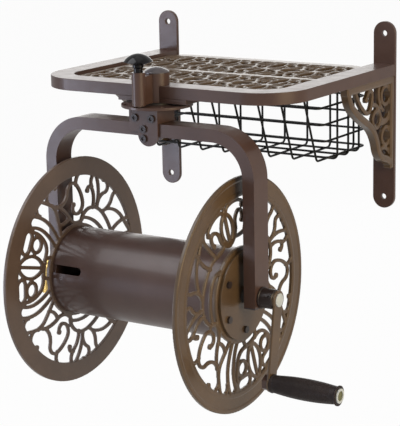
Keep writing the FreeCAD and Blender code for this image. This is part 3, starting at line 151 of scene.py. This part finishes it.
def powder_coat(name, dark, light, roughness, coat, gloss=0.42):
    """Baked powder coat: faint cloudy tone, fine orange peel and a glossy top."""
    shader = Shader(name)
    cloud = shader.noise(size=60 * MM, detail=4.0)
    peel = shader.noise(size=2.2 * MM, detail=2.0)
    wear = shader.noise(size=20 * MM)
    shader.set(Base_Color=shader.ramp(cloud, ((0.3, dark), (0.7, light))),
               Roughness=shader.spread(wear, roughness - 0.04, roughness + 0.05),
               Normal=shader.bump(peel, height=0.04 * MM, strength=0.5),
               Specular_IOR_Level=gloss, Coat_Weight=coat, Coat_Roughness=0.1)


def cast_coat(name, dark, light, roughness, coat):
    """The same coat over a sand casting: broader unevenness in tone and skin."""
    shader = Shader(name)
    cloud = shader.noise(size=35 * MM, detail=5.0)
    sand = shader.noise(size=4 * MM, detail=4.0)
    peel = shader.noise(size=1.2 * MM, detail=2.0)
    skin = shader.bump(sand, height=0.15 * MM, strength=0.5)
    shader.set(Base_Color=shader.ramp(cloud, ((0.28, dark), (0.72, light))),
               Roughness=shader.spread(sand, roughness - 0.06, roughness + 0.06),
               Normal=shader.bump(peel, height=0.04 * MM, strength=0.5, after=skin),
               Specular_IOR_Level=0.4, Coat_Weight=coat, Coat_Roughness=0.14)


def moulded(name, dark, light, roughness, grain, gloss=0.5):
    """Moulded plastic or rubber with a fine grain."""
    shader = Shader(name)
    cloud = shader.noise(size=15 * MM, detail=4.0)
    wear = shader.noise(size=6 * MM)
    relief = shader.noise(size=grain, detail=2.0)
    shader.set(Base_Color=shader.ramp(cloud, ((0.3, dark), (0.7, light))),
               Roughness=shader.spread(wear, roughness - 0.04, roughness + 0.06),
               Normal=shader.bump(relief, height=grain / 12, strength=0.4),
               Specular_IOR_Level=gloss)


def turned_metal(name, dark, light, roughness, lines):
    """Bare metal with fine turning lines along one axis."""
    shader = Shader(name)
    cloud = shader.noise(size=10 * MM)
    marks = shader.noise(size=4 * MM, stretch=lines)
    shader.set(Base_Color=shader.ramp(cloud, ((0.3, dark), (0.7, light))), Metallic=1.0,
               Roughness=shader.spread(marks, roughness - 0.06, roughness + 0.1),
               Normal=shader.bump(marks, height=0.03 * MM, strength=0.5))


powder_coat("bronze_coat", srgb(72, 52, 46), srgb(82, 61, 54), roughness=0.36, coat=0.2)
powder_coat("black_wire", srgb(11, 10, 10), srgb(17, 16, 16), roughness=0.38, coat=0.05, gloss=0.25)
powder_coat("dark_boss", srgb(36, 27, 26), srgb(44, 34, 33), roughness=0.34, coat=0.1)
cast_coat("bronze_casting", srgb(80, 63, 45), srgb(93, 74, 53), roughness=0.36, coat=0.25)
# A cooler copy of bronze_casting: painted cool light on the left disc, which is the same casting as the
# right one
cast_coat("casting_painted_cool_light", srgb(90, 74, 65), srgb(102, 85, 75), roughness=0.36, coat=0.25)
moulded("black_knob", srgb(10, 8, 11), srgb(15, 13, 16), roughness=0.1, grain=0.8 * MM, gloss=0.3)
moulded("dark_cap", srgb(72, 67, 72), srgb(84, 78, 83), roughness=0.2, grain=0.8 * MM)
moulded("bearing_plastic", srgb(40, 38, 37), srgb(50, 48, 46), roughness=0.45, grain=1 * MM)
moulded("black_steel", srgb(38, 30, 29), srgb(50, 41, 39), roughness=0.3, grain=0.6 * MM)
moulded("grip_rubber", srgb(32, 25, 25), srgb(42, 33, 33), roughness=0.5, grain=0.7 * MM, gloss=0.3)
moulded("seal_rubber", srgb(22, 22, 22), srgb(30, 30, 30), roughness=0.6, grain=0.8 * MM)
moulded("pale_washer", srgb(186, 196, 204), srgb(200, 210, 218), roughness=0.35, grain=0.8 * MM)
turned_metal("steel", srgb(150, 142, 134), srgb(178, 170, 162), roughness=0.35, lines=(1, 6, 6))
turned_metal("olive_plating", srgb(118, 116, 78), srgb(142, 139, 98), roughness=0.4, lines=(1, 5, 5))
turned_metal("brass", srgb(196, 162, 92), srgb(222, 192, 120), roughness=0.26, lines=(1, 1, 8))


def paint(piece, slot):
    """Give a piece one of the materials and name its slot."""
    piece.data.materials.clear()
    piece.data.materials.append(MATERIALS[slot])


for name, node in NODES.items():
    node.data.materials.clear()
    node.data.materials.append(MATERIALS[SLOT_OF[name]])


# Pieces that stand for CAD nodes with softer edges

def stand_in(name, mesh, node):
    """A new piece that rides where the node that it stands for rides."""
    piece = bpy.data.objects.new(name, mesh)
    scene.collection.objects.link(piece)
    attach(piece, BODY_OF[node])
    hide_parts(node)
    paint(piece, SLOT_OF[node])
    return piece


def shade_smooth(mesh):
    """Let the light run over a mesh's faces without a break."""
    mesh.polygons.foreach_set("use_smooth", [True] * len(mesh.polygons))


SEAM = 0.002 * MM
FLAT_ANGLE = math.radians(0.5)


def welded_copy(node):
    """A copy of a node's mesh with its seams closed and its flat faces joined up."""
    mesh = NODES[node].data.copy()
    work = bmesh.new()
    work.from_mesh(mesh)
    bmesh.ops.remove_doubles(work, verts=work.verts, dist=SEAM)
    bmesh.ops.dissolve_limit(work, angle_limit=FLAT_ANGLE, verts=work.verts, edges=work.edges)
    work.to_mesh(mesh)
    work.free()
    shade_smooth(mesh)
    return mesh


SHARP_ANGLE = math.radians(35)


def rounded(node, width):
    """A node with its sharp edges rounded off and its flat faces kept flat in the light."""
    piece = stand_in(node + "_rounded", welded_copy(node), node)
    bevel = piece.modifiers.new("edges", "BEVEL")
    bevel.width = width
    bevel.segments = 3
    bevel.limit_method = "ANGLE"
    bevel.angle_limit = SHARP_ANGLE
    flat = piece.modifiers.new("flats", "WEIGHTED_NORMAL")
    flat.weight = 100


FACE_COSINE = 0.6


def crown_strokes(places, heads, way, crown, shoulder):
    """Lower one face's points near their stroke's edge, by the crown's height at the edge itself.

    The face is a signed axis, such as +X. A point is on it, or on a wall, by how its normal leans.
    """
    axis = "XYZ".index(way[1])
    sign = 1 if way[0] == "+" else -1
    flat = [part for part in range(3) if part != axis]
    walls = np.nonzero(np.abs(heads[:, axis]) < FACE_COSINE)[0]
    tree = KDTree(len(walls))
    for index in walls:
        tree.insert((*places[index, flat], 0), int(index))
    tree.balance()
    for index in np.nonzero(heads[:, axis] * sign > FACE_COSINE)[0]:
        near = tree.find((*places[index, flat], 0))[2]
        inward = 1 - min(near / shoulder, 1)
        places[index, axis] -= sign * crown * inward ** 2


def voxel_skin(piece, grain):
    """A piece's mesh as one even skin of small faces."""
    remesh = piece.modifiers.new("skin", "REMESH")
    remesh.mode = "VOXEL"
    remesh.voxel_size = grain
    bpy.context.view_layer.update()
    ready = piece.evaluated_get(bpy.context.evaluated_depsgraph_get())
    mesh = bpy.data.meshes.new_from_object(ready)
    mesh.name = piece.name
    piece.modifiers.clear()
    return mesh


def cast(node, grain, rounds, ways, crown, shoulder):
    """A casting: its edges flow, and the strokes of the faces named by signed axes are crowned."""
    piece = stand_in(node + "_cast", welded_copy(node), node)
    mesh = voxel_skin(piece, grain)
    places = np.empty(len(mesh.vertices) * 3)
    mesh.vertices.foreach_get("co", places)
    heads = np.empty(len(mesh.vertices) * 3)
    mesh.vertex_normals.foreach_get("vector", heads)
    for way in ways:
        crown_strokes(places.reshape(-1, 3), heads.reshape(-1, 3), way, crown, shoulder)
    mesh.vertices.foreach_set("co", places)
    shade_smooth(mesh)
    piece.data = mesh
    paint(piece, SLOT_OF[node])
    smooth = piece.modifiers.new("flow", "SMOOTH")
    smooth.factor = 0.5
    smooth.iterations = rounds
    return piece


def sprung_coil(node):
    """A copy of the spring, painted and baked in place where it stands."""
    mesh = NODES[node].data.copy()
    piece = bpy.data.objects.new(node + "_coil", mesh)
    scene.collection.objects.link(piece)
    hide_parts(node)
    paint(piece, SLOT_OF[node])
    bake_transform(piece)


# Grip: the bare sleeve's outline with fine slanting ribs cut into its bulged part

GRIP_STEPS = 330
GRIP_TURNS = 144
LEAST_WALL = 2 * MM
END_ROUND = 0.6 * MM
PLAIN_FIRST = 7 * MM
PLAIN_LAST = 8 * MM
RIB_PITCH = 2.3 * MM
RIB_DEPTH = 0.5 * MM
RIB_FADE = 4 * MM
RIB_ZIGZAGS = 6
RIB_SLANT = 2.2


def rib_cut(along, left, turn):
    """How deep the ribs cut, so far along their part, with so much of it left, at a step of the turn."""
    if along <= 0 or left <= 0:
        return 0.0
    zigzag = abs((turn * RIB_ZIGZAGS / GRIP_TURNS) % 1 - 0.5)
    wave = (along / RIB_PITCH + zigzag * RIB_SLANT) % 1
    fade = min(1, along / RIB_FADE, left / RIB_FADE)
    return RIB_DEPTH * fade * (0.5 - 0.5 * math.cos(2 * math.pi * wave))


def grip_rows(marks, radii, bore):
    """The sleeve's section as (place, radius) from one end of its bore to the other."""
    first, last = marks[0], marks[-1]
    rows = [(first, bore), (first, radii[0] - END_ROUND)]
    for step in range(1, GRIP_STEPS):
        x = first + (last - first) * step / GRIP_STEPS
        rows.append((x, float(np.interp(x, marks, radii))))
    return rows + [(last, radii[-1] - END_ROUND), (last, bore)]


def ring_faces(count):
    """The faces of a closed ring of so many rows of points."""
    faces = []
    for row in range(count):
        here = row * GRIP_TURNS
        ahead = (row + 1) % count * GRIP_TURNS
        for turn in range(GRIP_TURNS):
            after = (turn + 1) % GRIP_TURNS
            faces.append((here + turn, here + after, ahead + after, ahead + turn))
    return faces


def ribbed_grip():
    """The rubber sleeve with its ribs."""
    spots = np.array([vertex.co[:] for vertex in NODES["hand_grip"].data.vertices])
    middle = (spots.min(0) + spots.max(0)) / 2
    reach = np.hypot(spots[:, 1] - middle[1], spots[:, 2] - middle[2])
    bore = reach.min()
    skin = reach > bore + LEAST_WALL
    outline = {}
    for x, radius in zip(np.round(spots[skin, 0], 6).tolist(), reach[skin].tolist()):
        outline[x] = max(radius, outline.get(x, 0.0))
    marks = sorted(outline)
    rows = grip_rows(marks, [outline[mark] for mark in marks], bore)
    ribs_from = marks[0] + PLAIN_FIRST
    ribs_to = marks[-1] - PLAIN_LAST
    points = []
    for x, radius in rows:
        for turn in range(GRIP_TURNS):
            angle = 2 * math.pi * turn / GRIP_TURNS
            edge = radius - rib_cut(x - ribs_from, ribs_to - x, turn)
            points.append((x, middle[1] + edge * math.cos(angle), middle[2] + edge * math.sin(angle)))
    mesh = bpy.data.meshes.new("grip_ribbed")
    mesh.from_pydata(points, [], ring_faces(len(rows)))
    mesh.validate()
    work = bmesh.new()
    work.from_mesh(mesh)
    bmesh.ops.recalc_face_normals(work, faces=work.faces)
    work.to_mesh(mesh)
    work.free()
    shade_smooth(mesh)
    stand_in("grip_ribbed", mesh, "hand_grip")


# The pieces: castings, grip and spring, then what has rounded edges, by their width in millimetres

EDGES = {
    "yoke": 3.0,
    "shelf_frame": 1.8,
    "wall_strap_left": 1.2,
    "wall_strap_right": 1.2,
    "clamp_plate_front": 0.9,
    "clamp_plate_rear": 0.9,
    "crank_arm": 1.1,
    "base_plate": 1.0,
    "swivel_plate": 1.0,
    "hub_plate_left": 0.9,
    "hub_plate_right": 0.9,
    "pivot_housing": 1.2,
}

left_disc = cast("reel_disc_left", 0.8 * MM, 2, ("-X",), crown=1.6 * MM, shoulder=2.6 * MM)
# The left disc takes the cooler copy of its casting, as painted cool light
left_disc.data.materials[0] = MATERIALS["casting_painted_cool_light"]
cast("reel_disc_right", 0.8 * MM, 2, ("+X",), crown=1.6 * MM, shoulder=2.6 * MM)
cast("shelf_panel", 0.8 * MM, 4, ("+Z",), crown=2.4 * MM, shoulder=3.2 * MM)
for node in ("gusset_left", "gusset_right"):
    cast(node, 0.9 * MM, 4, ("+X", "-X"), crown=2.0 * MM, shoulder=3.5 * MM)
ribbed_grip()
sprung_coil("index_spring")
for node, width in EDGES.items():
    rounded(node, width * MM)


# Camera: the photograph's own view

FOCAL_PIXELS = 1667.0
IMAGE_WIDTH = 400
SENSOR = 36.0
CAMERA_PLACE = Vector((1.373, -2.335, 0.448))
YAW = math.radians(-33.11)
PITCH = math.radians(13.03)
ROLL = math.radians(-1.13)


def make_camera():
    """A camera that looks along the yaw and pitch, turned by the roll."""
    level = Vector((math.cos(YAW), -math.sin(YAW), 0))
    ahead = Vector((math.sin(YAW), math.cos(YAW), 0))
    forward = math.cos(PITCH) * ahead - math.sin(PITCH) * Vector((0, 0, 1))
    upright = level.cross(forward)
    right = math.cos(ROLL) * level + math.sin(ROLL) * upright
    up = math.cos(ROLL) * upright - math.sin(ROLL) * level
    turn = Matrix((right, up, -forward)).transposed().to_4x4()
    camera = bpy.data.objects.new("camera", bpy.data.cameras.new("camera"))
    camera.data.sensor_fit = "HORIZONTAL"
    camera.data.sensor_width = SENSOR
    camera.data.lens = FOCAL_PIXELS * SENSOR / IMAGE_WIDTH
    camera.data.clip_start = 0.05
    camera.data.clip_end = 60
    camera.matrix_world = Matrix.Translation(CAMERA_PLACE) @ turn
    scene.collection.objects.link(camera)
    scene.camera = camera


# Stage: a pale floor well below the reel, a white surround and soft lamps

FLOOR_DROP = 0.75
FLOOR_REACH = 12.0
FLOOR_GREY = (0.7, 0.7, 0.7, 1)
FLOOR_WHITE = 0.96
SURROUND_WHITE = 1.0
SURROUND_LIGHT = 0.32
WHITE = (1, 1, 1, 1)
MIRRORED = 0.35


def shown_white(tree, most):
    """How white the background shows: most to the camera or through glass, a part of it in a mirror."""
    path = tree.nodes.new("ShaderNodeLightPath")
    shares = {"Is Camera Ray": most, "Is Transmission Ray": most, "Is Glossy Ray": most * MIRRORED}
    total = None
    for name, part in shares.items():
        scaled = tree.nodes.new("ShaderNodeMath")
        scaled.operation = "MULTIPLY"
        tree.links.new(path.outputs[name], scaled.inputs[0])
        scaled.inputs[1].default_value = part
        if total is None:
            total = scaled
            continue
        either = tree.nodes.new("ShaderNodeMath")
        either.operation = "MAXIMUM"
        tree.links.new(total.outputs[0], either.inputs[0])
        tree.links.new(scaled.outputs[0], either.inputs[1])
        total = either
    return total.outputs[0]


def white_where_shown(tree, lit, kind, most):
    """A mix of a lit surface with plain white, up to a share, for rays that show the background."""
    white = tree.nodes.new(kind)
    white.inputs["Color"].default_value = WHITE
    white.inputs["Strength"].default_value = 1.0
    mix = tree.nodes.new("ShaderNodeMixShader")
    tree.links.new(shown_white(tree, most), mix.inputs["Fac"])
    tree.links.new(lit, mix.inputs[1])
    tree.links.new(white.outputs[0], mix.inputs[2])
    return mix.outputs[0]


def make_floor():
    """A wide pale floor, a part of which stays a lit surface, so that it keeps the shadow."""
    mesh = bpy.data.meshes.new("floor")
    signs = ((-1, -1), (1, -1), (1, 1), (-1, 1))
    corners = [(x * FLOOR_REACH, y * FLOOR_REACH, -FLOOR_DROP) for x, y in signs]
    mesh.from_pydata(corners, [], [(0, 1, 2, 3)])
    floor = bpy.data.objects.new("floor", mesh)
    scene.collection.objects.link(floor)
    material = bpy.data.materials.new("floor")
    material.use_nodes = True
    tree = material.node_tree
    matte = tree.nodes["Principled BSDF"]
    matte.inputs["Base Color"].default_value = FLOOR_GREY
    matte.inputs["Roughness"].default_value = 0.9
    tree.links.new(white_where_shown(tree, matte.outputs[0], "ShaderNodeEmission", FLOOR_WHITE),
                   tree.nodes["Material Output"].inputs["Surface"])
    mesh.materials.append(material)


def make_surround():
    """The studio's white surround."""
    world = bpy.data.worlds.new("studio")
    scene.world = world
    world.use_nodes = True
    tree = world.node_tree
    soft = tree.nodes["Background"]
    soft.inputs["Color"].default_value = WHITE
    soft.inputs["Strength"].default_value = SURROUND_LIGHT
    tree.links.new(white_where_shown(tree, soft.outputs[0], "ShaderNodeBackground", SURROUND_WHITE),
                   tree.nodes["World Output"].inputs["Surface"])


AIM = Vector((0.0, -0.25, -0.1))
WARM = (1.0, 0.78, 0.46)
COOL = (0.74, 0.8, 1.0)
PLAIN = (1.0, 0.99, 0.97)
SKY = (0.94, 0.95, 1.0)


def make_lamp(name, place, size, power, colour):
    """A square soft box that points at the reel."""
    data = bpy.data.lights.new(name, "AREA")
    data.shape = "SQUARE"
    data.size = size
    data.energy = power
    data.color = colour
    lamp = bpy.data.objects.new(name, data)
    lamp.location = place
    lamp.rotation_euler = (AIM - Vector(place)).to_track_quat("-Z", "Y").to_euler()
    lamp.visible_camera = False
    scene.collection.objects.link(lamp)


make_camera()
make_floor()
make_surround()
make_lamp("main", (-1.2, -1.6, 2.2), size=2.2, power=42, colour=SKY)
make_lamp("side", (1.9, -0.6, 0.45), size=1.2, power=24, colour=WARM)
make_lamp("fill", (-1.75, -1.9, -0.34), size=0.8, power=12.5, colour=COOL)
make_lamp("top", (0.0, -0.3, 2.6), size=1.8, power=4, colour=PLAIN)
make_lamp("back", (-1.6, 1.9, 0.5), size=1.7, power=13, colour=PLAIN)
